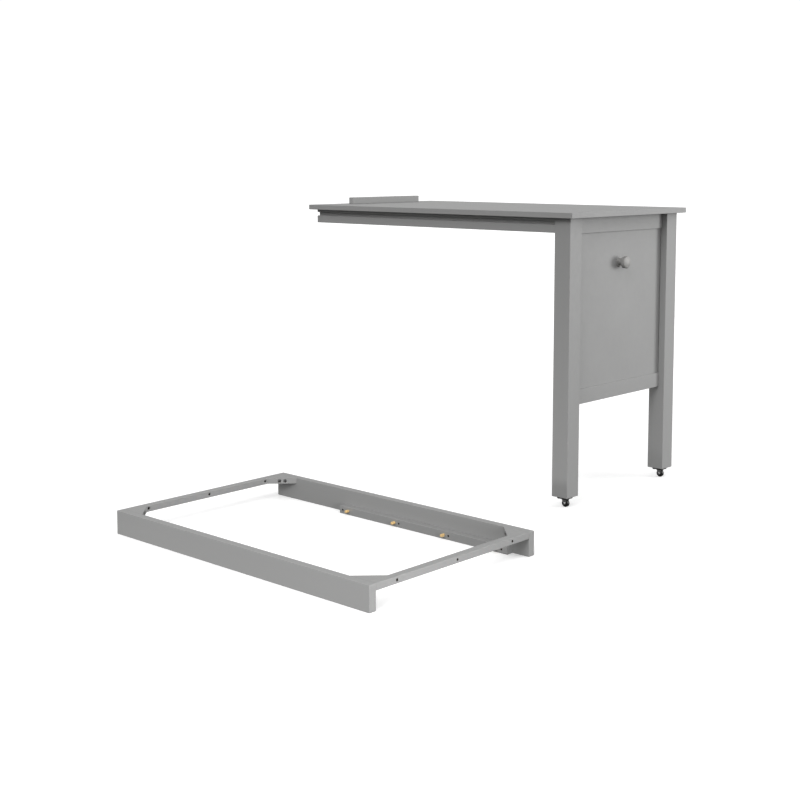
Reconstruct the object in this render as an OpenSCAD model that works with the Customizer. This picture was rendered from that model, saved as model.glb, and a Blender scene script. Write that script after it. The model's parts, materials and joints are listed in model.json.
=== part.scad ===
// Changing table that pulls out of a crib or chest on two casters, with the loose frame that
// comes with it lying on the floor in front. Millimetres, +Z up, +X along the long side.
// The origin is on the floor, at the middle of the box that holds both pieces.

/* [Layout] */
// Distance from the loose frame's back to the table top's front edge
layout_gap = 399; // [60:1:800]
// How far the loose frame's right end lies to the right of the table top's
layout_shift = 181; // [0:1:400]

/* [Table top] */
// Height of the changing surface above the floor
table_h = 850; // [700:1:950]
// Length of the top, front view
top_l = 1062; // [800:1:1300]
// Depth of the top, from front edge to rear edge
top_w = 605; // [450:1:750]
// Thickness of the top
top_t = 16; // [12:1:25]
// Overhang of the top beyond the legs at the right-hand end
overhang_x = 20; // [5:1:40]
// Overhang of the top beyond the legs at front and rear
overhang_y = 20.5; // [5:0.5:40]
// Thickness of the stop block near the left-hand end
stop_t = 19; // [12:1:30]
// Length of the stop block, across the table
stop_l = 330; // [200:1:450]
// Height of the stop block above the top
stop_h = 22; // [10:1:40]
// Distance from the top's left-hand edge to the stop block
stop_inset = 50; // [40:1:120]

/* [Runner rails] */
// Height of the rails under the top
runner_h = 43; // [38:1:70]
// Thickness of the rails
runner_t = 18; // [16:1:25]
// Distance from the top's left-hand edge to the open ends of the runner rails
runner_inset = 18; // [5:1:30]
// Setback of a runner rail's outer face behind the leg's outer face
runner_setback = 1; // [0:0.5:3]
// Height of the groove that the host's runners slide in
groove_h = 11; // [8:1:14]
// Depth of that groove
groove_d = 10; // [6:0.5:11]
// Height of the lip above the groove
upper_lip = 9; // [8:1:12]

/* [Legs and end panel] */
// Size of a leg along the table
leg_x = 54; // [46:1:70]
// Size of a leg across the table
leg_y = 56; // [40:1:70]
// Height of the rail above the panel
top_rail_h = 47; // [44:1:80]
// Height of the rail below the panel
bottom_rail_h = 44; // [36:1:80]
// Height of the bottom rail's underside above the floor
bottom_rail_z = 293; // [120:1:400]
// Thickness of the two rails
rail_t = 18; // [15:1:24]
// Setback of the rails' face behind the legs' face
rail_setback = 18; // [4:1:20]
// Thickness of the end panel
panel_t = 9; // [6:1:10]
// Setback of the panel's face behind the rails' face
panel_setback = 5; // [2:0.5:5]
// How far the panel reaches into the grooves of the legs and rails
tongue = 6; // [4:0.5:8]

/* [Knob] */
// Height of the knob above the floor
knob_z = 695; // [600:1:740]
// Diameter of the knob's head
knob_d = 36; // [24:1:44]
// How far the knob stands out from the panel
knob_out = 33; // [22:1:36]
// Diameter of the rosette behind the knob
rosette_d = 31; // [20:1:34]

/* [Casters] */
// Height of a caster from the floor to the underside of the leg
caster_h = 31; // [31:1:36]
// Diameter of the wheel
wheel_d = 22; // [18:1:22]
// Width of the wheel
wheel_w = 11; // [7:1:11]
// Distance of the wheel's axle behind the swivel's axis
trail = 3; // [1:0.5:5]
// Side of the square mounting plate
plate_w = 34; // [34:1:44]

/* [Loose frame] */
// Length of the frame
frame_l = 940; // [700:1:1200]
// Depth of the frame
frame_w = 600; // [450:1:750]
// Height of the long rails
frame_h = 64; // [50:1:90]
// Thickness of the long rails and width of the battens
frame_t = 22; // [18:1:30]
// Height of the battens and corner blocks
batten_h = 17; // [14:1:22]
// Length of a corner block along each side of its corner
block_leg = 60; // [50:1:80]
// Distance between neighbouring screw holes in a batten
batten_hole_pitch = 210; // [120:1:220]
// Radius of the screw holes in a batten
batten_hole_r = 3.5; // [2:0.1:4]
// Length of the strip with the dowels
strip_l = 603; // [560:1:640]
// Height and depth of the strip
strip_t = 22; // [18:1:26]
// Distance from the frame's left end to the strip
strip_inset = 285; // [40:1:290]
// Distance between neighbouring dowels
dowel_pitch = 178; // [120:1:180]
// Radius of the dowels
dowel_r = 4; // [3:0.5:5]
// How far the dowels stand out of the strip
dowel_out = 12; // [6:1:20]
// Radius of the screw holes in the strip
strip_hole_r = 3; // [2:0.1:3.5]

/* [Hidden] */
$fn = 48;

// The box that holds both pieces, with the origin in the middle of its base.
x_max = (top_l + layout_shift) / 2;
y_max = (top_w + layout_gap + frame_w) / 2;

// Table top and its rails.
top_x0 = -x_max;
top_x1 = top_x0 + top_l;
top_y0 = y_max - top_w;
mid_y = y_max - top_w / 2;
top_z0 = table_h - top_t;
stop_x0 = top_x0 + stop_inset;
stop_screw_pitch = 120;
leg_x1 = top_x1 - overhang_x;
leg_x0 = leg_x1 - leg_x;
leg_y0 = top_y0 + overhang_y;
leg_y1 = leg_y0 + leg_y;
runner_x0 = top_x0 + runner_inset;
runner_y0 = leg_y0 + runner_setback;
runner_y1 = runner_y0 + runner_t;
runner_z0 = top_z0 - runner_h;
groove_z0 = top_z0 - upper_lip - groove_h;
lower_lip_z = (runner_z0 + groove_z0) / 2;

// End frame: rails and panel between the legs.
rail_x1 = leg_x1 - rail_setback;
rail_x0 = rail_x1 - rail_t;
top_rail_z = top_z0 - top_rail_h;
bottom_rail_z1 = bottom_rail_z + bottom_rail_h;
panel_x1 = rail_x1 - panel_setback;
panel_x0 = panel_x1 - panel_t;
tongue_gap = 0.5;
groove_reach = tongue + tongue_gap;
panel_gap = 1.2;

// Dowels that join the wooden parts, half in each part.
joint_dowel_r = 4;
joint_dowel_l = 32;
rail_dowel_edge = 11;
rail_dowel_pitch = 18;
rail_dowel_x = (rail_x0 + rail_x1) / 2;
rail_dowel_zs = [bottom_rail_z + rail_dowel_edge,
                 bottom_rail_z + rail_dowel_edge + rail_dowel_pitch,
                 top_z0 - rail_dowel_edge - rail_dowel_pitch,
                 top_z0 - rail_dowel_edge];
runner_dowel_y = runner_y0 + runner_t / 2;
cross_dowel_in_runner = 12;

// Steel brackets under the top: [x, y, turn about Z] of the corner that each one sits in.
bracket_w = 16;
bracket_leg = 30;
bracket_t = 2;
bracket_hole = 24;
bracket_screw_r = 1.75;
bracket_screw_l = 14;
runner_bracket_xs = [-450, -100, 250];
cross_bracket_ys = [mid_y - 60, mid_y + 60];
brackets = concat(
    [for (x = runner_bracket_xs) [x, runner_y1, 0]],
    [for (x = runner_bracket_xs) [x, 2 * mid_y - runner_y1, 180]],
    [for (y = cross_bracket_ys) [runner_x0 + runner_t, y, -90]],
    [for (y = cross_bracket_ys) [rail_x0, y, 90]]);

// Screws: shank radius, head radius and head height.
wood_screw_head = [3.2, 2.2];
stop_screw_r = 2;
stop_screw_l = 30;
knob_screw_r = 2;
knob_screw_in = 14;
knob_screw_head = [4, 2.4];
rosette_t = 4;
cross_depth = 1;

// Casters, each around its swivel axis with z up from the floor.
caster_x = (leg_x0 + leg_x1) / 2;
front_caster_y = leg_y0 + leg_y / 2;
rear_caster_y = 2 * mid_y - front_caster_y;
plate_t = 6;
plate_corner = 4;
plate_hole = 12.5;
plate_screw_r = 1.7;
plate_screw_l = 20;
plate_screw_head = [3, 1.5];
kingpin_r = 3;
kingpin_head = [5, 0.6];
running_gap = 0.05;
race_r = 8;
race_h = 0.6;
race_gap = 0.1;
fork_t = 1.5;
fork_top_z = caster_h - plate_t - race_h;
fork_top_t = 1.2;
fork_r = 10;
fork_reach = 7;
side_gap = 0.5;
fork_y0 = wheel_w / 2 + side_gap;
fork_y1 = fork_y0 + fork_t;
arm_r = 4.4;
axle_r = 2;
axle_head = [3.6, 1.3];
wheel_r = wheel_d / 2;
tread_round = 2.5;
hub_r = 3.6;
rim_r = wheel_r - tread_round - 0.7;
dish = 1.2;

// Loose frame.
frame_x1 = x_max;
frame_x0 = frame_x1 - frame_l;
frame_y0 = -y_max;
frame_y1 = frame_y0 + frame_w;
frame_mid_y = frame_y0 + frame_w / 2;
inner_x0 = frame_x0 + frame_t;
inner_x1 = frame_x1 - frame_t;
inner_y0 = frame_y0 + frame_t;
inner_y1 = frame_y1 - frame_t;
batten_z0 = frame_h - batten_h;
batten_mid_z = frame_h - batten_h / 2;
countersink_r = 6.2;
countersink_h = 2.5;
block_screw_r = 1.75;
block_screw_l = 34;
block_screw_spread = 8.2;
block_pocket_r = 5;
block_pocket_d = 12;
strip_x0 = frame_x0 + strip_inset;
strip_y0 = inner_y1 - strip_t;
first_dowel = 34;
dowel_in = 15;
glue_gap = 0.2;
dowel_xs = [for (i = [0:3]) strip_x0 + first_dowel + i * dowel_pitch];
strip_hole_offsets = [-22, 16, 16, 16];
strip_hole_xs = [for (i = [0:3]) dowel_xs[i] + strip_hole_offsets[i]];

// Colours.
paint = "#8f8f8f";
steel = "#b9b9b6";
dark_zinc = "#6e6e6c";
black = "#1b1b1b";
beech = "#d9b878";

// A box from its lowest corner to its highest corner.
module box(low, high) {
    translate(low) cube(high - low);
}

// The same shape again on the far side of the table's middle plane.
module at_rear() {
    translate([0, 2 * mid_y, 0]) mirror([0, 1, 0]) children();
}

// A plain cylinder along +X or +Y from a point.
module rod_x(at, r, length) {
    translate(at) rotate([0, 90, 0]) cylinder(r = r, h = length);
}

module rod_y(at, r, length) {
    translate(at) rotate([-90, 0, 0]) cylinder(r = r, h = length);
}

// A cross-head screw. The shank runs down from the origin and the head stands above it.
module screw(r, length, head) {
    slot_l = head[0] * 1.1;
    slot_w = head[0] * 0.25;
    translate([0, 0, -length]) cylinder(r = r, h = length);
    difference() {
        cylinder(r1 = head[0], r2 = head[0] * 0.75, h = head[1]);
        translate([0, 0, head[1] - cross_depth / 2]) {
            cube([slot_l, slot_w, cross_depth], center = true);
            cube([slot_w, slot_l, cross_depth], center = true);
        }
    }
}

// ---- Table top ----

module place_stop_screws() {
    for (i = [-1:1]) {
        translate([stop_x0 + stop_t / 2, mid_y + i * stop_screw_pitch, top_z0 + wood_screw_head[1]])
            rotate([180, 0, 0]) children();
    }
}

module place_brackets() {
    for (b = brackets) {
        translate([b[0], b[1], top_z0]) rotate([0, 0, b[2]]) children();
    }
}

// Seats of a bracket's two screws: one up into the top, one level into the rail.
module place_bracket_screws() {
    place_brackets() {
        translate([0, bracket_hole, -bracket_t]) rotate([180, 0, 0]) children();
        translate([0, bracket_t, -bracket_hole]) rotate([-90, 0, 0]) children();
    }
}

module bracket_screw_holes() {
    place_bracket_screws() translate([0, 0, -bracket_screw_l])
        cylinder(r = bracket_screw_r, h = bracket_screw_l);
}

module stop_screw_holes() {
    place_stop_screws() {
        translate([0, 0, -stop_screw_l]) cylinder(r = stop_screw_r, h = stop_screw_l);
        cylinder(r = wood_screw_head[0], h = 2 * wood_screw_head[1]);
    }
}

module table_top() {
    color(paint) difference() {
        box([top_x0, top_y0, top_z0], [top_x1, y_max, table_h]);
        bracket_screw_holes();
        stop_screw_holes();
    }
}

module stop_block() {
    color(paint) difference() {
        box([stop_x0, mid_y - stop_l / 2, table_h],
            [stop_x0 + stop_t, mid_y + stop_l / 2, table_h + stop_h]);
        stop_screw_holes();
    }
}

module stop_block_screws() {
    color(steel) place_stop_screws() screw(stop_screw_r, stop_screw_l, wood_screw_head);
}

// ---- Runner rails and cross rail ----

module front_runner_dowels() {
    rod_x([leg_x0 - joint_dowel_l / 2, runner_dowel_y, lower_lip_z], joint_dowel_r, joint_dowel_l);
    rod_y([runner_x0 + runner_t / 2, runner_y1 - cross_dowel_in_runner, lower_lip_z],
          joint_dowel_r, joint_dowel_l);
}

module runner_dowels() {
    color(beech) {
        front_runner_dowels();
        at_rear() front_runner_dowels();
    }
}

// A rail with a groove along its outer face, open at the left-hand end.
module grooved_rail() {
    difference() {
        box([runner_x0, runner_y0, runner_z0], [leg_x0, runner_y1, top_z0]);
        box([runner_x0 - 1, runner_y0 - 1, groove_z0],
            [leg_x0 + 1, runner_y0 + groove_d, groove_z0 + groove_h]);
        front_runner_dowels();
    }
}

module front_runner_rail() {
    color(paint) difference() {
        grooved_rail();
        bracket_screw_holes();
    }
}

module rear_runner_rail() {
    color(paint) difference() {
        at_rear() grooved_rail();
        bracket_screw_holes();
    }
}

module left_cross_rail() {
    color(paint) difference() {
        box([runner_x0, runner_y1, runner_z0],
            [runner_x0 + runner_t, 2 * mid_y - runner_y1, top_z0]);
        front_runner_dowels();
        at_rear() front_runner_dowels();
        bracket_screw_holes();
    }
}

// A folded steel angle in the corner between a rail and the top.
module angle_bracket() {
    difference() {
        union() {
            box([-bracket_w / 2, 0, -bracket_leg], [bracket_w / 2, bracket_t, 0]);
            box([-bracket_w / 2, 0, -bracket_t], [bracket_w / 2, bracket_leg, 0]);
        }
        translate([0, bracket_hole, -bracket_t - 1]) cylinder(r = bracket_screw_r, h = bracket_t + 2);
        rod_y([0, -1, -bracket_hole], bracket_screw_r, bracket_t + 2);
    }
}

module top_brackets() {
    color(steel) place_brackets() angle_bracket();
}

module bracket_screws() {
    color(steel) place_bracket_screws() screw(bracket_screw_r, bracket_screw_l, wood_screw_head);
}

// ---- Legs and end frame ----

module front_rail_dowels() {
    for (z = rail_dowel_zs) {
        rod_y([rail_dowel_x, leg_y1 - joint_dowel_l / 2, z], joint_dowel_r, joint_dowel_l);
    }
}

module rail_dowels() {
    color(beech) {
        front_rail_dowels();
        at_rear() front_rail_dowels();
    }
}

// The groove for the panel's tongue, all round. It is wider than the panel by a gap in front of it.
module panel_groove() {
    box([panel_x0, leg_y1 - groove_reach, bottom_rail_z1 - groove_reach],
        [panel_x1 + panel_gap, 2 * mid_y - leg_y1 + groove_reach, top_rail_z + groove_reach]);
}

module leg() {
    difference() {
        box([leg_x0, leg_y0, caster_h], [leg_x1, leg_y1, top_z0]);
        panel_groove();
        front_rail_dowels();
        front_runner_dowels();
        translate([caster_x, front_caster_y, 0]) caster_screw_holes();
    }
}

module front_leg() {
    color(paint) leg();
}

module rear_leg() {
    color(paint) at_rear() leg();
}

// A rail between the legs at height z, grooved for the panel and drilled for its dowels.
module end_rail(z, height) {
    difference() {
        box([rail_x0, leg_y1, z], [rail_x1, 2 * mid_y - leg_y1, z + height]);
        panel_groove();
        front_rail_dowels();
        at_rear() front_rail_dowels();
    }
}

module top_rail() {
    color(paint) difference() {
        end_rail(top_rail_z, top_rail_h);
        bracket_screw_holes();
    }
}

module bottom_rail() {
    color(paint) end_rail(bottom_rail_z, bottom_rail_h);
}

module end_panel() {
    color(paint) difference() {
        box([panel_x0, leg_y1 - tongue, bottom_rail_z1 - tongue],
            [panel_x1, 2 * mid_y - leg_y1 + tongue, top_rail_z + tongue]);
        knob_screw_hole();
    }
}

// ---- Knob ----

// Knob parts are turned about their own +Z, which points out of the panel.
module on_panel() {
    translate([panel_x1, mid_y, knob_z]) rotate([0, 90, 0]) children();
}

module knob_screw_hole() {
    on_panel() translate([0, 0, -panel_t - 1])
        cylinder(r = knob_screw_r, h = panel_t + 1 + rosette_t + knob_screw_in);
}

module knob_rosette() {
    r = rosette_d / 2;
    color(steel) difference() {
        on_panel() rotate_extrude() polygon(concat(
            [[0, 0], [r, 0], [r, rosette_t * 0.4]],
            [for (a = [15:15:75]) [r - 2.4 * (1 - cos(a)), rosette_t * 0.4 + rosette_t * 0.6 * sin(a)]],
            [[r - 2.4, rosette_t], [0, rosette_t]]));
        knob_screw_hole();
    }
}

module knob() {
    r = knob_d / 2;
    neck_r = 6.5;
    head_z = knob_out * 0.58;
    rim_z = knob_out - 8;
    color(steel) difference() {
        on_panel() rotate_extrude() polygon(concat(
            [[0, rosette_t], [neck_r + 2, rosette_t], [neck_r + 0.6, rosette_t + 2]],
            [[neck_r, rosette_t + 5], [neck_r + 1.5, head_z - 3]],
            [for (a = [0:15:90]) [neck_r + 3 + (r - neck_r - 3) * sin(a), rim_z - (rim_z - head_z) * cos(a)]],
            [for (a = [0:10:90]) [r * cos(a), rim_z + 2 + (knob_out - rim_z - 2) * sin(a)]]));
        knob_screw_hole();
    }
}

module knob_screw() {
    shank = panel_t + rosette_t + knob_screw_in - 1;
    color(steel) on_panel() translate([0, 0, -panel_t]) mirror([0, 0, 1])
        screw(knob_screw_r, shank, knob_screw_head);
}

// ---- Casters, drawn around the swivel axis with the wheel trailing towards +X ----

module place_plate_screws() {
    for (x = [-1, 1], y = [-1, 1]) {
        translate([x * plate_hole, y * plate_hole, caster_h - plate_t]) mirror([0, 0, 1]) children();
    }
}

module caster_screw_holes() {
    place_plate_screws() translate([0, 0, -plate_screw_l])
        cylinder(r = plate_screw_r, h = plate_screw_l);
}

module rounded_square(side, corner) {
    flat = side - 2 * corner;
    square([side, flat], center = true);
    square([flat, side], center = true);
    for (x = [-1, 1], y = [-1, 1]) translate([x, y] * flat / 2) circle(r = corner);
}

module caster_plate() {
    color(black) difference() {
        translate([0, 0, caster_h - plate_t]) linear_extrude(plate_t)
            rounded_square(plate_w, plate_corner);
        caster_screw_holes();
        cylinder(r = kingpin_r, h = caster_h + 1);
    }
}

module caster_screws() {
    color(steel) place_plate_screws() screw(plate_screw_r, plate_screw_l, plate_screw_head);
}

module caster_race() {
    low = fork_top_z + race_gap;
    color(steel) difference() {
        translate([0, 0, low]) cylinder(r = race_r, h = caster_h - plate_t - low);
        cylinder(r = kingpin_r, h = caster_h);
    }
}

module caster_kingpin() {
    head_z = fork_top_z - fork_top_t - race_gap - kingpin_head[1];
    color(steel) translate([0, 0, head_z]) {
        cylinder(r1 = kingpin_head[0] - 1, r2 = kingpin_head[0], h = kingpin_head[1]);
        cylinder(r = kingpin_r, h = caster_h - head_z);
    }
}

// One cheek of the fork, seen from the side.
module fork_cheek() {
    polygon([[-fork_reach, fork_top_z], [trail + fork_reach, fork_top_z], [trail + arm_r, wheel_r],
             [trail - arm_r, wheel_r]]);
    translate([trail, wheel_r]) circle(r = arm_r);
}

module caster_fork() {
    color(dark_zinc) difference() {
        union() {
            translate([0, 0, fork_top_z - fork_top_t]) linear_extrude(fork_top_t) {
                circle(r = fork_r);
                translate([0, -fork_y1]) square([trail + fork_reach, 2 * fork_y1]);
            }
            for (y = [-fork_y0, fork_y1]) {
                translate([0, y, 0]) rotate([90, 0, 0]) linear_extrude(fork_t) fork_cheek();
            }
        }
        cylinder(r = kingpin_r + running_gap, h = caster_h);
        rod_y([trail, -fork_y1 - 1, wheel_r], axle_r, 2 * fork_y1 + 2);
    }
}

module caster_axle() {
    color(steel) {
        rod_y([trail, -fork_y1, wheel_r], axle_r, 2 * fork_y1);
        for (side = [0, 1]) {
            mirror([0, side, 0]) translate([trail, -fork_y1, wheel_r]) rotate([90, 0, 0])
                cylinder(r1 = axle_head[0], r2 = axle_head[0] * 0.6, h = axle_head[1]);
        }
    }
}

// A wheel with a rounded tread and dished sides.
module caster_wheel() {
    half = wheel_w / 2;
    bore_r = axle_r + running_gap;
    tread = [for (a = [0:15:90]) [wheel_r - tread_round * (1 - cos(a)),
                                  half - tread_round * (1 - sin(a))]];
    side = concat(tread, [[rim_r, half], [rim_r - 1, half - dish], [hub_r + 1, half - dish],
                          [hub_r, half], [bore_r, half]]);
    other_side = [for (i = [len(side) - 1:-1:0]) [side[i][0], -side[i][1]]];
    color(black) translate([trail, 0, wheel_r]) rotate([90, 0, 0]) rotate_extrude()
        polygon(concat(side, other_side));
}

module at_front_caster() {
    translate([caster_x, front_caster_y, 0]) children();
}

module at_rear_caster() {
    translate([caster_x, rear_caster_y, 0]) children();
}

// ---- Loose frame ----

// Mirrors a shape drawn at the frame's front left corner into the corner asked for.
module frame_corner(right, rear) {
    translate([right ? frame_x0 + frame_x1 : 0, rear ? 2 * frame_mid_y : 0, 0])
        mirror([right ? 1 : 0, 0, 0]) mirror([0, rear ? 1 : 0, 0]) children();
}

// Seats of a corner block's two screws, square to its long face.
module place_block_screws() {
    for (side = [-1, 1]) {
        translate([inner_x0 + block_leg / 2, inner_y0 + block_leg / 2, batten_mid_z])
            rotate([0, 0, 45]) translate([-block_pocket_d, side * block_screw_spread, 0])
            rotate([0, 90, 0]) children();
    }
}

module block_screw_holes() {
    place_block_screws() {
        translate([0, 0, -block_screw_l]) cylinder(r = block_screw_r, h = block_screw_l);
        cylinder(r = block_pocket_r, h = block_pocket_d + 1);
    }
}

module all_block_screw_holes() {
    for (right = [false, true], rear = [false, true]) frame_corner(right, rear) block_screw_holes();
}

module frame_front_rail() {
    color(paint) difference() {
        box([frame_x0, frame_y0, 0], [frame_x1, inner_y0, frame_h]);
        all_block_screw_holes();
    }
}

module frame_rear_rail() {
    color(paint) difference() {
        box([frame_x0, inner_y1, 0], [frame_x1, frame_y1, frame_h]);
        all_block_screw_holes();
    }
}

// The left-hand batten, with screw holes that are countersunk on the inside.
module batten() {
    difference() {
        box([frame_x0, inner_y0, batten_z0], [inner_x0, inner_y1, frame_h]);
        for (i = [-1:1]) {
            hole = [frame_x0 - 1, frame_mid_y + i * batten_hole_pitch, batten_mid_z];
            rod_x(hole, batten_hole_r, frame_t + 2);
            translate([inner_x0 - countersink_h, hole[1], hole[2]]) rotate([0, 90, 0])
                cylinder(r1 = batten_hole_r, r2 = countersink_r, h = countersink_h);
        }
        block_screw_holes();
        frame_corner(false, true) block_screw_holes();
    }
}

module frame_left_batten() {
    color(paint) batten();
}

module frame_right_batten() {
    color(paint) frame_corner(true, false) batten();
}

module corner_block() {
    color(paint) difference() {
        translate([inner_x0, inner_y0, batten_z0]) linear_extrude(batten_h)
            polygon([[0, 0], [block_leg, 0], [0, block_leg]]);
        block_screw_holes();
    }
}

module block_screws() {
    color(steel) for (right = [false, true], rear = [false, true]) {
        frame_corner(right, rear) place_block_screws()
            screw(block_screw_r, block_screw_l, wood_screw_head);
    }
}

module dowel_strip() {
    color(paint) difference() {
        box([strip_x0, strip_y0, 0], [strip_x0 + strip_l, inner_y1, strip_t]);
        for (x = dowel_xs) rod_y([x, strip_y0 - 1, strip_t / 2], dowel_r, dowel_in + 1);
        for (x = strip_hole_xs) rod_y([x, strip_y0 - 1, strip_t / 2], strip_hole_r, strip_t + 2);
    }
}

// Dowels that stand out of the strip. Round the glued half there is room for the glue.
module strip_dowels() {
    tip = 1;
    color(beech) for (x = dowel_xs) {
        translate([x, strip_y0, strip_t / 2]) rotate([90, 0, 0]) {
            translate([0, 0, -dowel_in]) cylinder(r = dowel_r - glue_gap, h = dowel_in);
            cylinder(r = dowel_r, h = dowel_out - tip);
            translate([0, 0, dowel_out - tip])
                cylinder(r1 = dowel_r, r2 = dowel_r - tip, h = tip);
        }
    }
}

table_top();
stop_block();
stop_block_screws();
front_runner_rail();
rear_runner_rail();
left_cross_rail();
front_leg();
rear_leg();
top_rail();
bottom_rail();
end_panel();
rail_dowels();
runner_dowels();
top_brackets();
bracket_screws();
knob_rosette();
knob();
knob_screw();
at_front_caster() caster_plate();  // front_caster_plate
at_front_caster() caster_screws();  // front_caster_screws
at_front_caster() caster_race();  // front_caster_race
at_front_caster() caster_kingpin();  // front_caster_kingpin
at_front_caster() caster_fork();  // front_caster_fork
at_front_caster() caster_axle();  // front_caster_axle
at_front_caster() caster_wheel();  // front_caster_wheel
at_rear_caster() caster_plate();  // rear_caster_plate
at_rear_caster() caster_screws();  // rear_caster_screws
at_rear_caster() caster_race();  // rear_caster_race
at_rear_caster() caster_kingpin();  // rear_caster_kingpin
at_rear_caster() caster_fork();  // rear_caster_fork
at_rear_caster() caster_axle();  // rear_caster_axle
at_rear_caster() caster_wheel();  // rear_caster_wheel
frame_front_rail();
frame_rear_rail();
frame_left_batten();
frame_right_batten();
frame_corner(false, false) corner_block();  // front_left_block
frame_corner(true, false) corner_block();  // front_right_block
frame_corner(false, true) corner_block();  // rear_left_block
frame_corner(true, true) corner_block();  // rear_right_block
block_screws();
dowel_strip();
strip_dowels();
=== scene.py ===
"""Looks of the pull-out changing table and its loose frame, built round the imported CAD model. Metres."""

import json
import math

import bmesh
import bpy
from mathutils import Matrix, Vector


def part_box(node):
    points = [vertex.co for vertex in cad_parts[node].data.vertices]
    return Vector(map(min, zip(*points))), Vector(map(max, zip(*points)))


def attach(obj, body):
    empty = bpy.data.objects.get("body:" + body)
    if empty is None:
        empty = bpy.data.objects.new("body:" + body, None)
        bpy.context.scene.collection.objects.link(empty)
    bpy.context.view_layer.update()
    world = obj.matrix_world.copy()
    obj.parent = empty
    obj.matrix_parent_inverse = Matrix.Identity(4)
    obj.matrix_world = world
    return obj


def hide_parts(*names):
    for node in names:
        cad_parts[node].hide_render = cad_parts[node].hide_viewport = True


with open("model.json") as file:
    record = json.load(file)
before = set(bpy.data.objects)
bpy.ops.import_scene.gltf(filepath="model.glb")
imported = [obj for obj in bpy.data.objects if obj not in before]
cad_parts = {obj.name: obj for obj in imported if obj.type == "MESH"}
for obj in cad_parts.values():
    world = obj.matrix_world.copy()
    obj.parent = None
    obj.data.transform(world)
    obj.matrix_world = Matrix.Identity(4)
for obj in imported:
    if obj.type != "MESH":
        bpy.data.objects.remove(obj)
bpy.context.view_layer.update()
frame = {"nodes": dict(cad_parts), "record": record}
NODES = frame["nodes"]
MM = 0.001


# ---- Camera ----

# The photo's viewing angle and lens, worked out from the edges of the top and of the loose frame.
CAMERA_AZIMUTH = math.radians(42.776)
CAMERA_DOWN = math.radians(5.921)
CAMERA_AT = (2.6216, -2.8641, 0.9937)
CAMERA_LENS = 60.35
CAMERA_SHIFT = -0.125


def make_camera():
    data = bpy.data.cameras.new("photo_camera")
    data.sensor_width = 36
    data.lens = CAMERA_LENS
    data.shift_y = CAMERA_SHIFT
    data.clip_start = 0.1
    data.clip_end = 200
    camera = bpy.data.objects.new("photo_camera", data)
    camera.location = CAMERA_AT
    camera.rotation_euler = (math.pi / 2 - CAMERA_DOWN, 0, CAMERA_AZIMUTH)
    bpy.context.scene.collection.objects.link(camera)
    bpy.context.scene.camera = camera


# ---- Studio: pale floor, white surroundings and soft lights ----

WHITE = (1, 1, 1, 1)
FLOOR_SIDE = 60
FLOOR_GLOW = 0.25
# Strength of the sky all over, what it gains to the right and the front, and strength of the ground.
SKY = 0.65
SKY_RIGHT = 0.67
SKY_FRONT = 0.25
GROUND = 0.08
HORIZON_BLUR = 0.04
# What the camera sees of the surroundings.
SEEN_WHITE = 1.05


def make_world():
    """Seen as plain white. It lights the object from above, more from the right and front.

    Little light comes from below.
    """
    world = bpy.data.worlds.new("studio")
    bpy.context.scene.world = world
    world.use_nodes = True
    nt = world.node_tree
    nt.nodes.clear()

    def math_node(operation, *values):
        node = nt.nodes.new("ShaderNodeMath")
        node.operation = operation
        for socket, value in zip(node.inputs, values):
            if isinstance(value, (int, float)):
                socket.default_value = value
            else:
                nt.links.new(value, socket)
        return node.outputs[0]

    place = nt.nodes.new("ShaderNodeTexCoord")
    split = nt.nodes.new("ShaderNodeSeparateXYZ")
    nt.links.new(place.outputs["Generated"], split.inputs[0])
    x, y, z = split.outputs
    right = math_node("MULTIPLY", math_node("MAXIMUM", x, 0.0), SKY_RIGHT)
    front = math_node("MULTIPLY", math_node("MULTIPLY", math_node("MINIMUM", y, 0.0), z), -SKY_FRONT)
    above = math_node("ADD", math_node("ADD", right, front), SKY)
    horizon = nt.nodes.new("ShaderNodeMapRange")
    horizon.inputs["From Min"].default_value = -HORIZON_BLUR
    horizon.inputs["From Max"].default_value = HORIZON_BLUR
    horizon.inputs["To Min"].default_value = GROUND
    nt.links.new(z, horizon.inputs["Value"])
    nt.links.new(above, horizon.inputs["To Max"])

    light = nt.nodes.new("ShaderNodeBackground")
    light.inputs["Color"].default_value = WHITE
    nt.links.new(horizon.outputs["Result"], light.inputs["Strength"])
    seen = nt.nodes.new("ShaderNodeBackground")
    seen.inputs["Color"].default_value = WHITE
    seen.inputs["Strength"].default_value = SEEN_WHITE
    path = nt.nodes.new("ShaderNodeLightPath")
    mix = nt.nodes.new("ShaderNodeMixShader")
    out = nt.nodes.new("ShaderNodeOutputWorld")
    nt.links.new(path.outputs["Is Camera Ray"], mix.inputs[0])
    nt.links.new(light.outputs[0], mix.inputs[1])
    nt.links.new(seen.outputs[0], mix.inputs[2])
    nt.links.new(mix.outputs[0], out.inputs["Surface"])


def area_light(name, at, aim, width, height, watts, spread=180):
    """A soft rectangular light near the object, which the camera does not see."""
    data = bpy.data.lights.new(name, "AREA")
    data.shape = "RECTANGLE"
    data.size = width
    data.size_y = height
    data.energy = watts
    data.spread = math.radians(spread)
    light = bpy.data.objects.new(name, data)
    light.location = at
    light.rotation_euler = (Vector(at) - Vector(aim)).to_track_quat("Z", "Y").to_euler()
    light.visible_camera = False
    bpy.context.scene.collection.objects.link(light)


def wide_light(name, height, turn, spread, strength, mirrored=True):
    """A soft light from far away, with its height above the horizon and turn from the front in degrees.

    A light that isn't mirrored leaves no highlight on paint or metal.
    """
    data = bpy.data.lights.new(name, "SUN")
    data.energy = strength
    data.angle = math.radians(spread)
    light = bpy.data.objects.new(name, data)
    light.rotation_euler = (math.radians(90 - height), 0, math.radians(turn))
    light.visible_glossy = mirrored
    bpy.context.scene.collection.objects.link(light)


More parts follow.
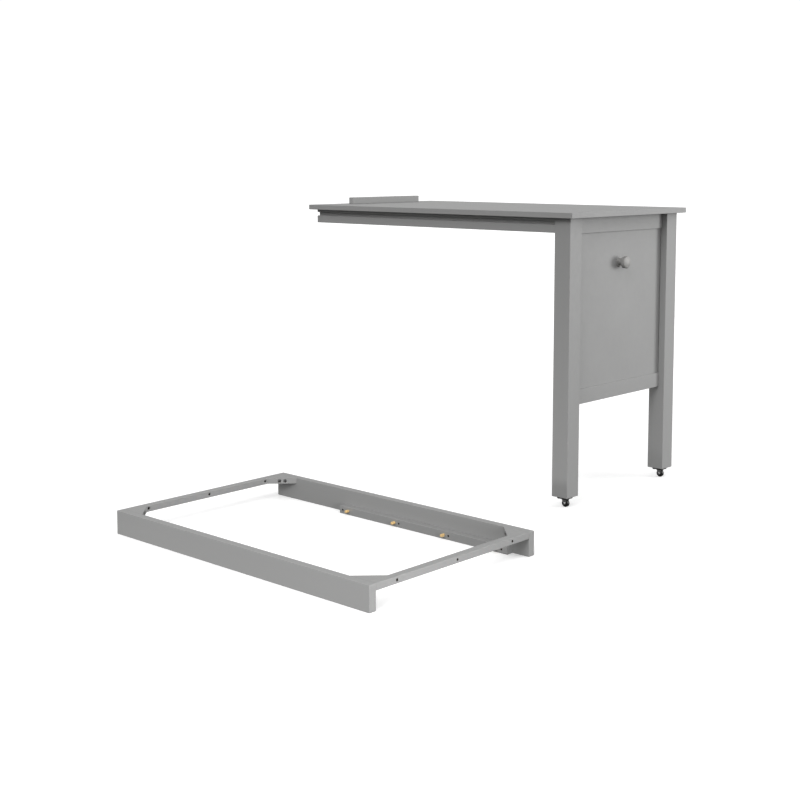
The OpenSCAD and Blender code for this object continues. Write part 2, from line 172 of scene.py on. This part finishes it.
def make_lights():
    wide_light("front_low", height=33, turn=15, spread=24, strength=1.0)
    wide_light("fill_behind", height=9, turn=235, spread=60, strength=0.5, mirrored=False)
    area_light("key_right", at=(3.27, 3.04, 0.8), aim=(0, 0, 0.45), width=1.6, height=1.6, watts=74)
    area_light("fill_frame_end", at=(1.9, -1.1, 0.3), aim=(0.4, -0.6, 0.03),
               width=0.5, height=0.5, watts=0.9, spread=40)
    area_light("fill_frame_front", at=(0.2, -2.9, 0.04), aim=(0.15, -0.8, 0.03),
               width=1.6, height=0.06, watts=0.8, spread=30)


def make_floor(material):
    """The floor shows white and takes faint shadows, and adds no bounce of its own to the object."""
    half = FLOOR_SIDE / 2
    mesh = bpy.data.meshes.new("studio_floor")
    corners = [(-half, -half, 0), (half, -half, 0), (half, half, 0), (-half, half, 0)]
    mesh.from_pydata(corners, [], [(0, 1, 2, 3)])
    floor = bpy.data.objects.new("studio_floor", mesh)
    bpy.context.scene.collection.objects.link(floor)
    mesh.materials.append(material)
    floor.visible_diffuse = False
    floor.visible_glossy = False


# ---- Materials ----

def new_material(name, base, roughness, metallic=0.0):
    """A Principled material with its object-space coordinates, ready for more nodes."""
    material = bpy.data.materials.new(name)
    material.use_nodes = True
    nt = material.node_tree
    shader = nt.nodes["Principled BSDF"]
    shader.inputs["Base Color"].default_value = (*base, 1)
    shader.inputs["Roughness"].default_value = roughness
    shader.inputs["Metallic"].default_value = metallic
    place = nt.nodes.new("ShaderNodeTexCoord")
    return material, nt, shader, place.outputs["Object"]


def noise(nt, place, scale, detail=3.0, stretch=(1, 1, 1)):
    """Noise in metres of the object, drawn out along an axis where stretch is below 1."""
    mapping = nt.nodes.new("ShaderNodeMapping")
    mapping.inputs["Scale"].default_value = stretch
    nt.links.new(place, mapping.inputs["Vector"])
    node = nt.nodes.new("ShaderNodeTexNoise")
    node.inputs["Scale"].default_value = scale
    node.inputs["Detail"].default_value = detail
    nt.links.new(mapping.outputs["Vector"], node.inputs["Vector"])
    return node.outputs["Fac"]


def remap(nt, value, low, high, start=0.3, stop=0.7):
    """Takes a value between start and stop to one between low and high."""
    node = nt.nodes.new("ShaderNodeMapRange")
    node.inputs["From Min"].default_value = start
    node.inputs["From Max"].default_value = stop
    node.inputs["To Min"].default_value = low
    node.inputs["To Max"].default_value = high
    nt.links.new(value, node.inputs["Value"])
    return node.outputs["Result"]


def blend_colours(nt, factor, first, second):
    node = nt.nodes.new("ShaderNodeMix")
    node.data_type = "RGBA"
    node.inputs["A"].default_value = (*first, 1)
    node.inputs["B"].default_value = (*second, 1)
    nt.links.new(factor, node.inputs["Factor"])
    return node.outputs["Result"]


def bump(nt, shader, height, strength, distance, under=None):
    """Small relief on a material, on top of the relief under it if there is one."""
    node = nt.nodes.new("ShaderNodeBump")
    node.inputs["Strength"].default_value = strength
    node.inputs["Distance"].default_value = distance
    nt.links.new(height, node.inputs["Height"])
    if under:
        nt.links.new(under, node.inputs["Normal"])
    nt.links.new(node.outputs["Normal"], shader.inputs["Normal"])
    return node.outputs["Normal"]


GREY = (0.300, 0.300, 0.298)
# How noise is drawn out along the grain of a board.
GRAIN = {"x": (0.05, 1, 1), "y": (1, 0.05, 1), "z": (1, 1, 0.05), "none": (1, 1, 1)}


def painted(name, grain):
    """Satin grey paint. Over solid wood the grain shows faintly through it; over board it is plain."""
    material, nt, shader, place = new_material(name, GREY, roughness=0.5)
    cloud = noise(nt, place, scale=7, detail=4, stretch=GRAIN[grain])
    darker = [c * 0.975 for c in GREY]
    lighter = [c * 1.025 for c in GREY]
    tint = blend_colours(nt, remap(nt, cloud, 0, 1), darker, lighter)
    nt.links.new(tint, shader.inputs["Base Color"])
    sheen = noise(nt, place, scale=60, detail=3)
    nt.links.new(remap(nt, sheen, 0.46, 0.55), shader.inputs["Roughness"])
    orange_peel = noise(nt, place, scale=900, detail=2)
    peel = bump(nt, shader, orange_peel, strength=0.12, distance=0.0002)
    if grain != "none":
        pores = noise(nt, place, scale=260, detail=5, stretch=GRAIN[grain])
        bump(nt, shader, pores, strength=0.16, distance=0.0003, under=peel)
    shader.inputs["Specular IOR Level"].default_value = 0.3
    return material


def beech():
    """Bare beech with streaks along Y, the way the strip's dowels lie."""
    material, nt, shader, place = new_material("beech", (0.6, 0.4, 0.2), roughness=0.55)
    streaks = noise(nt, place, scale=900, detail=4, stretch=(1, 0.06, 1))
    dark, light = (0.66, 0.40, 0.14), (0.97, 0.74, 0.38)
    tint = blend_colours(nt, remap(nt, streaks, 0, 1), dark, light)
    nt.links.new(tint, shader.inputs["Base Color"])
    bump(nt, shader, streaks, strength=0.3, distance=0.0002)
    return material


def bore_painted_shade():
    """Drilled walls of unpainted wood, fibrous, and darker than bare wood: painted shade deep in the
    holes.
    """
    material, nt, shader, place = new_material("bore_painted_shade", (0.05, 0.045, 0.04), roughness=0.9)
    fibres = noise(nt, place, scale=1500, detail=3, stretch=(1, 1, 0.3))
    dark, light = (0.035, 0.03, 0.026), (0.075, 0.066, 0.055)
    tint = blend_colours(nt, remap(nt, fibres, 0, 1), dark, light)
    nt.links.new(tint, shader.inputs["Base Color"])
    bump(nt, shader, fibres, strength=0.4, distance=0.0002)
    return material


def metal(name, base, roughness, grain_scale, stretch=(1, 1, 1)):
    """Plated or brushed metal, with fine marks that change its roughness."""
    material, nt, shader, place = new_material(name, base, roughness, metallic=1.0)
    marks = noise(nt, place, scale=grain_scale, detail=4, stretch=stretch)
    nt.links.new(remap(nt, marks, roughness * 0.8, roughness * 1.25), shader.inputs["Roughness"])
    clouds = noise(nt, place, scale=90, detail=2)
    darker = [c * 0.93 for c in base]
    tint = blend_colours(nt, remap(nt, clouds, 0, 1), darker, base)
    nt.links.new(tint, shader.inputs["Base Color"])
    bump(nt, shader, marks, strength=0.08, distance=0.0001)
    return material


def turned_metal(name, base, roughness, metallic, centre):
    """Lacquered satin metal turned on a lathe about the X direction, with fine rings round the axis."""
    material, nt, shader, place = new_material(name, base, roughness, metallic)
    from_axis = nt.nodes.new("ShaderNodeVectorMath")
    from_axis.operation = "SUBTRACT"
    from_axis.inputs[1].default_value = centre
    nt.links.new(place, from_axis.inputs[0])
    across = nt.nodes.new("ShaderNodeVectorMath")
    across.operation = "MULTIPLY"
    across.inputs[1].default_value = (0, 1, 1)
    nt.links.new(from_axis.outputs["Vector"], across.inputs[0])
    radius = nt.nodes.new("ShaderNodeVectorMath")
    radius.operation = "LENGTH"
    nt.links.new(across.outputs["Vector"], radius.inputs[0])
    along = nt.nodes.new("ShaderNodeSeparateXYZ")
    nt.links.new(from_axis.outputs["Vector"], along.inputs[0])
    profile = nt.nodes.new("ShaderNodeCombineXYZ")
    nt.links.new(radius.outputs["Value"], profile.inputs["X"])
    nt.links.new(along.outputs["X"], profile.inputs["Y"])
    rings = noise(nt, profile.outputs["Vector"], scale=2600, detail=2)
    nt.links.new(remap(nt, rings, roughness * 0.88, roughness * 1.12), shader.inputs["Roughness"])
    clouds = noise(nt, place, scale=120, detail=3)
    darker = [c * 0.94 for c in base]
    tint = blend_colours(nt, remap(nt, clouds, 0, 1), darker, base)
    nt.links.new(tint, shader.inputs["Base Color"])
    bump(nt, shader, rings, strength=0.10, distance=0.00005)
    return material


def black_part(name, base, roughness, peel_scale):
    """Black coated steel or moulded nylon, with a fine peel and a slightly worn sheen."""
    black = (base, base, base)
    worn = (base * 1.8, base * 1.8, base * 1.75)
    material, nt, shader, place = new_material(name, black, roughness)
    wear = noise(nt, place, scale=140, detail=3)
    nt.links.new(remap(nt, wear, roughness * 0.85, roughness * 1.2), shader.inputs["Roughness"])
    tint = blend_colours(nt, remap(nt, wear, 0, 1), black, worn)
    nt.links.new(tint, shader.inputs["Base Color"])
    peel = noise(nt, place, scale=peel_scale, detail=2)
    bump(nt, shader, peel, strength=0.15, distance=0.0001)
    return material


def floor_material():
    """Matt and nearly white, with a little glow of its own."""
    material, nt, shader, place = new_material("pale_floor", (0.95, 0.95, 0.95), roughness=0.9)
    clouds = noise(nt, place, scale=3, detail=2)
    tint = blend_colours(nt, clouds, (0.94, 0.94, 0.94), (0.96, 0.96, 0.96))
    nt.links.new(tint, shader.inputs["Base Color"])
    shader.inputs["Specular IOR Level"].default_value = 0.0
    shader.inputs["Emission Color"].default_value = WHITE
    shader.inputs["Emission Strength"].default_value = FLOOR_GLOW
    return material


# ---- Mesh helpers ----

# Edges sharper than the smooth angle stay sharp. Those at least as long as an arris get rounded.
SMOOTH_ANGLE = math.radians(35)
ARRIS_MIN = 3 * MM
# Faces that meet at less than this are one flat face.
FLAT_ANGLE = math.radians(0.5)
# A drilled hole's wall is made of narrow facets whose two short sides are alike.
FACET_MAX = 1.6 * MM
FACET_UNEVEN = 0.05
# Points closer than these become one: in the CAD mesh, then after its edges are rounded.
SAME_POINT = 0.001 * MM
WELD = 0.01 * MM
# A point of an outline nearer than this to the axis is on it.
ON_AXIS = 0.0001 * MM


def new_piece(name, bm, material, body, slot, *nodes):
    """Turns a bmesh into a piece that rides on a body and stands for CAD nodes."""
    bmesh.ops.recalc_face_normals(bm, faces=bm.faces)
    mesh = bpy.data.meshes.new(name)
    bm.to_mesh(mesh)
    bm.free()
    mesh.materials.append(material)
    mesh.shade_smooth()
    mesh.set_sharp_from_angle(angle=SMOOTH_ANGLE)
    piece = bpy.data.objects.new(name, mesh)
    bpy.context.scene.collection.objects.link(piece)
    even = piece.modifiers.new("even_normals", "WEIGHTED_NORMAL")
    even.keep_sharp = True
    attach(piece, body)
    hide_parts(*nodes)
    return piece


def eased_copy(node, width, material, segments=3, bore=None):
    """A copy of a CAD node with its long sharp edges rounded.

    The rims of drilled holes stay crisp, and a near-black bore material, painted shade over unpainted
    wood, goes on their walls.
    """
    bm = bmesh.new()
    bm.from_mesh(NODES[node].data)
    bmesh.ops.remove_doubles(bm, verts=bm.verts, dist=SAME_POINT)
    bmesh.ops.dissolve_limit(bm, angle_limit=FLAT_ANGLE, use_dissolve_boundaries=False,
                             verts=bm.verts, edges=bm.edges)
    # Hole walls take the second material: unpainted wood, made nearly black as painted shade.
    for face in bm.faces:
        sides = sorted(e.calc_length() for e in face.edges)
        is_narrow = len(sides) == 4 and sides[1] < FACET_MAX
        is_even = sides[1] - sides[0] < FACET_UNEVEN * sides[1]
        face.material_index = int(is_narrow and is_even)
    arrises = [e for e in bm.edges if len(e.link_faces) == 2
               and e.calc_length() > ARRIS_MIN and e.calc_face_angle() > SMOOTH_ANGLE]
    bmesh.ops.bevel(bm, geom=arrises, offset=width, segments=segments, profile=0.5,
                    affect="EDGES", clamp_overlap=False, miter_outer="ARC")
    bmesh.ops.remove_doubles(bm, verts=bm.verts, dist=WELD)
    bmesh.ops.dissolve_degenerate(bm, dist=WELD, edges=bm.edges)
    piece = new_piece(f"{node}_eased", bm, material, BODY_OF[node], SLOT_OF[node], node)
    piece.data.materials.append(bore or material)
    return piece


def curve_through(points, steps=6):
    """A smooth Catmull-Rom line through a few points, each (along, radius)."""
    line = []
    for i in range(len(points) - 1):
        before, first = points[max(i - 1, 0)], points[i]
        second, after = points[i + 1], points[min(i + 2, len(points) - 1)]
        for k in range(steps):
            t = k / steps
            line.append(tuple(
                0.5 * (2 * b + (c - a) * t + (2 * a - 5 * b + 4 * c - d) * t ** 2
                       + (3 * b - a - 3 * c + d) * t ** 3)
                for a, b, c, d in zip(before, first, second, after)))
    return line + [points[-1]]


def arc(centre, radius, start, stop, steps=6):
    """Points (along, radius) on an arc, with its angles in degrees from the axis direction."""
    angles = [math.radians(start + (stop - start) * k / steps) for k in range(steps + 1)]
    return [(centre[0] + radius * math.cos(a), centre[1] + radius * math.sin(a)) for a in angles]


def bridge(bm, lower, upper):
    """Joins two rings of points with faces. A ring of one point is a tip."""
    for k in range(max(len(lower), len(upper))):
        corners = [lower[k % len(lower)], lower[(k + 1) % len(lower)],
                   upper[(k + 1) % len(upper)], upper[k % len(upper)]]
        bm.faces.new(list(dict.fromkeys(corners)))


def lathe(bm, outline, origin, axis, segments=96):
    """Turns an outline of (along, radius) about an axis.

    The outline closes on the axis, or on itself round a bore.
    """
    turn = Vector(axis).to_track_quat("Z", "Y").to_matrix()
    rings = []
    for along, radius in outline:
        count = segments if radius > ON_AXIS else 1
        rings.append([
            bm.verts.new(Vector(origin) + turn @ Vector((
                radius * math.cos(2 * math.pi * k / segments),
                radius * math.sin(2 * math.pi * k / segments), along)))
            for k in range(count)])
    pairs = list(zip(rings, rings[1:]))
    if len(rings[0]) > 1:
        pairs.append((rings[-1], rings[0]))
    for lower, upper in pairs:
        bridge(bm, lower, upper)


# ---- Knob ----

def knob_frame(node):
    """Start point on the axis, length along it and radius of a node turned about +X."""
    low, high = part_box(node)
    middle = (low + high) / 2
    return Vector((low.x, middle.y, middle.z)), high.x - low.x, (high.y - low.y) / 2


def make_rosette(material):
    """A stepped disc with a bead round its edge and a low boss in the middle."""
    origin, thick, r = knob_frame("knob_rosette")
    bead = 1.3 * MM
    ring = 1.1 * MM
    ring_r = r - 4.4 * MM
    boss_foot = r - 5.6 * MM
    boss_shoulder = r - 6.6 * MM
    boss_top = r - 8.2 * MM
    outline = [(0, 0), (0, r)]
    outline += arc((bead, r - bead), bead, 90, 20)
    outline += arc((thick * 0.55, ring_r), ring, -60, 60)[::-1]
    outline += curve_through([
        (thick * 0.62, boss_foot), (thick * 0.9, boss_shoulder), (thick, boss_top)], steps=4)
    outline.append((thick, 0))
    bm = bmesh.new()
    lathe(bm, outline, origin, (1, 0, 0))
    return new_piece("rosette_turned", bm, material, "table", "satin_nickel", "knob_rosette")


def make_knob(material):
    """A waisted neck under a thick round head, with a low crown and a shallow ring in it."""
    origin, length, r = knob_frame("knob")
    neck = 6.4 * MM
    foot = neck + 2.4 * MM
    rim = 2.8 * MM
    back = length * 0.50
    crown_degrees = 24
    crown_angle = math.radians(crown_degrees)
    crown_r = r - rim + rim * math.sin(crown_angle)
    rise = crown_r * math.tan(crown_angle) / 2
    front = length - rise - rim * math.cos(crown_angle)
    outline = [(0, 0), (0, foot)]
    # From the foot in to the waist of the neck, then out to the back of the head.
    outline += curve_through([
        (0.8 * MM, foot), (length * 0.12, neck + 0.6 * MM), (length * 0.22, neck),
        (length * 0.30, neck + 1.4 * MM), (length * 0.37, neck + 5.5 * MM),
        (back - rim * 0.94, r - rim * 1.35)])
    outline += arc((back, r - rim), rim, 160, 90)
    outline += arc((front, r - rim), rim, 90, crown_degrees)
    # Over the crown to the middle, with the ring as a dent.
    ring_r = 11.5 * MM
    ring_deep = 0.4 * MM
    ring_wide = 0.6 * MM
    steps = 36
    for k in range(1, steps):
        radius = crown_r * (1 - k / steps)
        dent = ring_deep * math.exp(-((radius - ring_r) / ring_wide) ** 2)
        outline.append((length - rise * (radius / crown_r) ** 2 - dent, radius))
    outline.append((length, 0))
    bm = bmesh.new()
    lathe(bm, outline, origin, (1, 0, 0))
    return new_piece("knob_turned", bm, material, "table", "satin_nickel", "knob")


# ---- Casters ----

def make_wheel(end, material):
    """A moulded wheel: rounded tread with a parting line, and ribs in the dish between rim and hub."""
    low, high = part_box(f"{end}_caster_wheel")
    centre = (low + high) / 2
    r = (high.z - low.z) / 2
    half = (high.y - low.y) / 2
    bore = 2.06 * MM
    hub = 4.3 * MM
    rim = r - 2.9 * MM
    dish = half - 1.7 * MM
    shoulder = 2.2 * MM
    # The parting line stands out of the tread.
    line_half = 0.25 * MM
    line_high = 0.08 * MM
    tread = r - line_high
    chamfer = 0.4 * MM
    chamfer_at = half - 0.3 * MM
    # One side's outline, from the parting line over the shoulder and down the face to the bore.
    side = [(line_half, tread)] + arc((half - shoulder, tread - shoulder), shoulder, 90, 0)
    side += [(half, rim + chamfer), (chamfer_at, rim), (dish, rim - 0.5 * MM), (dish, hub + chamfer),
             (chamfer_at, hub), (half, hub - chamfer), (half, bore + 0.3 * MM), (chamfer_at, bore)]
    outline = [(0, r)] + side + [(-along, radius) for along, radius in reversed(side)]
    bm = bmesh.new()
    lathe(bm, outline, centre, (0, 1, 0), segments=72)
    ribs = 7
    rib_size = (0.9 * MM, 1.2 * MM, rim - hub + 0.6 * MM, 1)
    rib_r = (hub + rim) / 2 - 0.1 * MM
    rib_out = dish + 0.3 * MM
    for k in range(ribs):
        for face in (-1, 1):
            rib = bmesh.ops.create_cube(bm, size=1)["verts"]
            place = (Matrix.Translation(centre) @ Matrix.Rotation(2 * math.pi * k / ribs, 4, "Y")
                     @ Matrix.Translation((0, face * rib_out, rib_r))
                     @ Matrix.Diagonal(rib_size))
            bmesh.ops.transform(bm, matrix=place, verts=rib)
    return new_piece(f"{end}_wheel_moulded", bm, material, f"{end}_wheel", "black_nylon",
                     f"{end}_caster_wheel")


def make_axle(end, material):
    """The wheel's rivet, with a domed head at each side of the fork."""
    low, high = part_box(f"{end}_caster_axle")
    centre = (low + high) / 2
    half = (high.y - low.y) / 2
    shank = 2 * MM
    head = (high.z - low.z) / 2
    under = half - 1.3 * MM
    cap = curve_through([
        (under, head), (under + 0.35 * MM, head), (half - 0.25 * MM, head * 0.72), (half, 0)])
    side = [(under, shank)] + cap
    outline = [(-along, radius) for along, radius in reversed(side)] + side
    bm = bmesh.new()
    lathe(bm, outline, centre, (0, 1, 0), segments=48)
    return new_piece(f"{end}_rivet", bm, material, f"{end}_swivel", "zinc_steel",
                     f"{end}_caster_axle")


# ---- Dowels of the strip ----

def make_fluted_dowels(material):
    """Fluted dowels that stand out of the strip, with chamfered tips."""
    low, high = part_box("strip_dowels")
    dowels = 4
    r = (high.z - low.z) / 2
    pitch = (high.x - low.x - 2 * r) / (dowels - 1)
    length = high.y - low.y
    flutes = 20
    depth = 0.28 * MM
    chamfer = 1.0 * MM
    points = flutes * 8
    outline = [(0, 0), (0, 1 - chamfer / r), (chamfer, 1), (length, 1), (length, 0)]
    bm = bmesh.new()
    for i in range(dowels):
        x = low.x + r + i * pitch
        rings = []
        for along, scale in outline:
            ring = []
            for k in range(points if scale else 1):
                a = 2 * math.pi * k / points
                cut = depth * (0.5 - 0.5 * math.cos(flutes * a)) ** 2
                ring.append(bm.verts.new((
                    x + (r - cut) * scale * math.cos(a), low.y + along,
                    low.z + r + (r - cut) * scale * math.sin(a))))
            rings.append(ring)
        for lower, upper in zip(rings, rings[1:]):
            bridge(bm, lower, upper)
    return new_piece("strip_dowels_fluted", bm, material, "loose_frame", "beech", "strip_dowels")


# ---- Finishes of every node ----

BODIES = frame["record"]["behaviour"]["bodies"]
BODY_OF = {node: body for body, nodes in BODIES.items() for node in nodes}
SLOT_OF = {part["node"]: part["material_slot"] for part in frame["record"]["subparts"]}

# Grain direction of each painted board and the radius of its eased edges in millimetres.
BOARDS = {
    "table_top": ("none", 1.0), "stop_block": ("y", 1.5),
    "front_runner_rail": ("x", 0.8), "rear_runner_rail": ("x", 0.8), "left_cross_rail": ("y", 0.8),
    "front_leg": ("z", 1.5), "rear_leg": ("z", 1.5),
    "top_rail": ("y", 1.0), "bottom_rail": ("y", 1.2), "end_panel": ("none", 0.3),
    "frame_front_rail": ("x", 1.2), "frame_rear_rail": ("x", 1.2),
    "frame_left_batten": ("y", 0.8), "frame_right_batten": ("y", 0.8),
    "front_left_block": ("x", 0.6), "front_right_block": ("x", 0.6),
    "rear_left_block": ("x", 0.6), "rear_right_block": ("x", 0.6), "dowel_strip": ("x", 0.8)}


def finish_node(node, material):
    """Gives a CAD node that stays as it is its one material."""
    mesh = NODES[node].data
    mesh.materials.clear()
    mesh.materials.append(material)


def dress():
    """Gives every node its finish: a piece that stands for it, or a material on the node itself."""
    paint = {g: painted(f"grey_paint_{g}", g) for g in GRAIN}
    zinc = metal("zinc_steel", (0.56, 0.57, 0.58), roughness=0.32, grain_scale=700)
    dark = metal("dark_zinc", (0.40, 0.40, 0.405), roughness=0.42, grain_scale=900,
                 stretch=(1, 1, 0.15))
    bright = metal("zinc_polished", (0.92, 0.92, 0.92), roughness=0.2, grain_scale=700)
    knob_foot = knob_frame("knob")[0]
    nickel = turned_metal("satin_nickel", (0.33, 0.326, 0.318), roughness=0.6, metallic=0.3,
                          centre=knob_foot)
    black = black_part("black_steel", base=0.012, roughness=0.42, peel_scale=1500)
    nylon = black_part("black_nylon", base=0.010, roughness=0.38, peel_scale=2200)
    wood = beech()
    # The bore material paints shade into drilled holes: near-black, not the tan of bare wood.
    bore_shade = bore_painted_shade()
    for node, (grain, radius) in BOARDS.items():
        eased_copy(node, radius * MM, paint[grain], bore=bore_shade)
    eased_copy("top_brackets", 0.35 * MM, zinc, segments=2)
    for node in ("rail_dowels", "runner_dowels"):
        finish_node(node, wood)
    for node in ("stop_block_screws", "bracket_screws", "knob_screw", "block_screws"):
        finish_node(node, zinc)
    make_rosette(nickel)
    make_knob(nickel)
    make_fluted_dowels(wood)
    for end in ("front", "rear"):
        for piece in ("screws", "race", "kingpin"):
            finish_node(f"{end}_caster_{piece}", zinc)
        eased_copy(f"{end}_caster_plate", 0.6 * MM, black)
        eased_copy(f"{end}_caster_fork", 0.3 * MM, dark, segments=2)
        make_wheel(end, nylon)
        make_axle(end, bright)


make_camera()
make_world()
make_floor(floor_material())
make_lights()
bpy.context.scene.view_settings.view_transform = "Standard"
dress()
